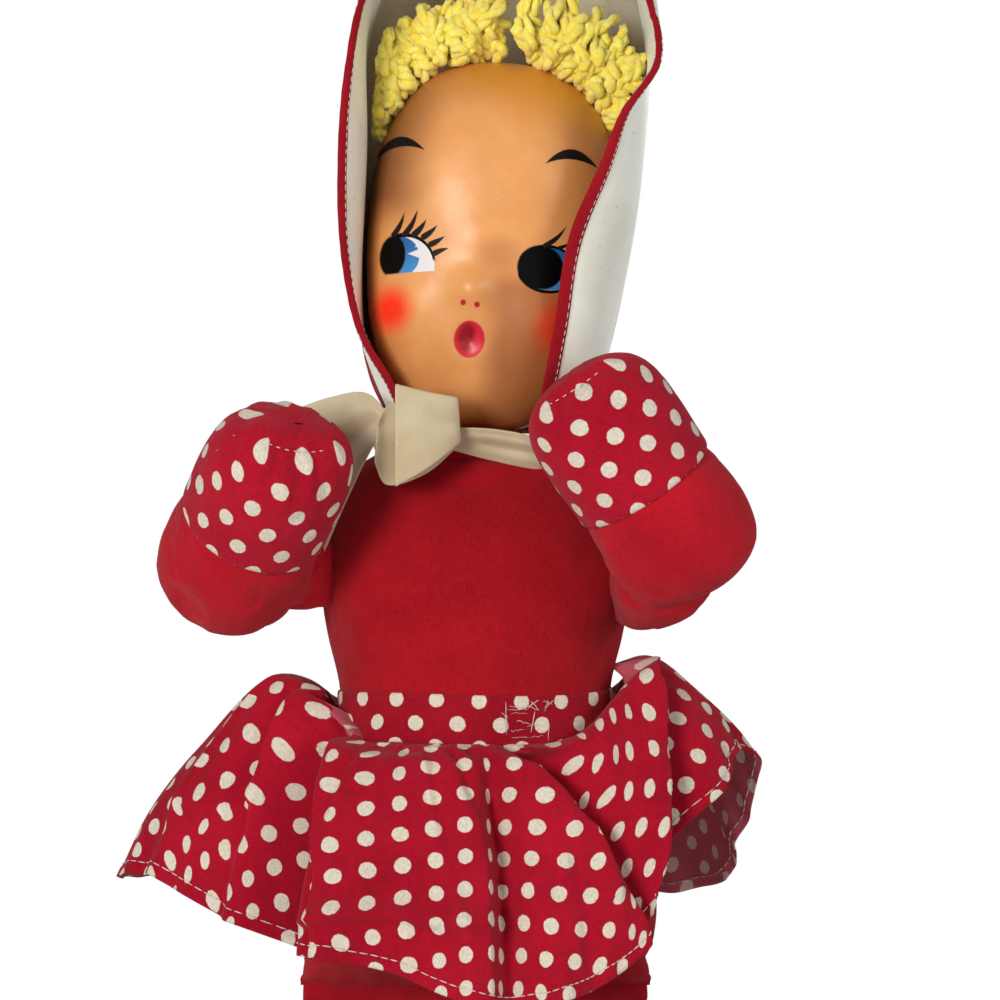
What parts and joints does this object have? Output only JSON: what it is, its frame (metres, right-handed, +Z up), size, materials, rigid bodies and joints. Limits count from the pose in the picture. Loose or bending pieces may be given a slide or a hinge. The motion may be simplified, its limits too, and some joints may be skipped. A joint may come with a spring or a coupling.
{
  "type": "stuffed cloth doll",
  "caption": "Stuffed cloth doll with a moulded face, tied hood, yarn hair, dotted mitts and gathered skirt; arms, legs and head turn at sewn seams.",
  "frame": {"origin": "on the floor plane under the middle of the doll's bounding box", "axes": "+Z up along the standing doll; the doll faces -Y; +X is the doll's own left side"},
  "size_m": [0.2334, 0.1576, 0.5784],
  "materials": {
    "red_cotton": "plain woven cotton, slightly worn",
    "dotted_cotton": "red cotton printed with cream dots",
    "oilcloth": "cream coated cloth, satin",
    "binding_tape": "red bias tape with a white stitch line",
    "moulded_face": "glossy moulded plastic, painted features",
    "yarn": "fuzzy yellow yarn",
    "stuffing": "cotton waste stuffing"
  },
  "bodies": {
    "torso": {"torso_cover": "red_cotton", "torso_stuffing": "stuffing", "waistband": "dotted_cotton", "skirt": "dotted_cotton", "bow_knot": "oilcloth", "bow_loop": "oilcloth", "tie_tail": "oilcloth", "tie_left": "oilcloth"},
    "neck": {"neck": "red_cotton"},
    "head": {"face_mask": "moulded_face", "head_back": "red_cotton", "head_stuffing": "stuffing", "hair_right": "yarn", "hair_left": "yarn", "hood_crown": "red_cotton", "hood_brim": "oilcloth", "hood_binding": "binding_tape"},
    "arm_left": {"sleeve_left": "red_cotton", "mitt_left": "dotted_cotton", "arm_stuffing_left": "stuffing"},
    "arm_right": {"sleeve_right": "red_cotton", "mitt_right": "dotted_cotton", "arm_stuffing_right": "stuffing"},
    "leg_left": {"leg_left": "red_cotton", "boot_left": "dotted_cotton", "leg_stuffing_left": "stuffing"},
    "leg_right": {"leg_right": "red_cotton", "boot_right": "dotted_cotton", "leg_stuffing_right": "stuffing"}
  },
  "joints": [
    {"name": "neck_nod", "type": "hinge", "parent": "torso", "child": "neck", "pos_m": [0.00987, 0.00538, 0.36], "axis": [1, 0, 0], "range_deg": [-8, 5]},
    {"name": "head_turn", "type": "hinge", "parent": "neck", "child": "head", "pos_m": [0.00987, 0.00538, 0.36], "axis": [0.0785, 0, 0.9969], "range_deg": [-15, 12]},
    {"name": "shoulder_left", "type": "hinge", "parent": "torso", "child": "arm_left", "pos_m": [0.06474, -0.00662, 0.317], "axis": [0, 0, 1], "range_deg": [-10, 60]},
    {"name": "shoulder_right", "type": "hinge", "parent": "torso", "child": "arm_right", "pos_m": [-0.045, -0.00662, 0.317], "axis": [0, 0, -1], "range_deg": [-10, 60]},
    {"name": "hip_left", "type": "hinge", "parent": "torso", "child": "leg_left", "pos_m": [0.04287, 0.00538, 0.165], "axis": [-1, 0, 0], "range_deg": [-30, 38]},
    {"name": "hip_right", "type": "hinge", "parent": "torso", "child": "leg_right", "pos_m": [-0.02313, 0.00538, 0.165], "axis": [-1, 0, 0], "range_deg": [-30, 38]}
  ]
}
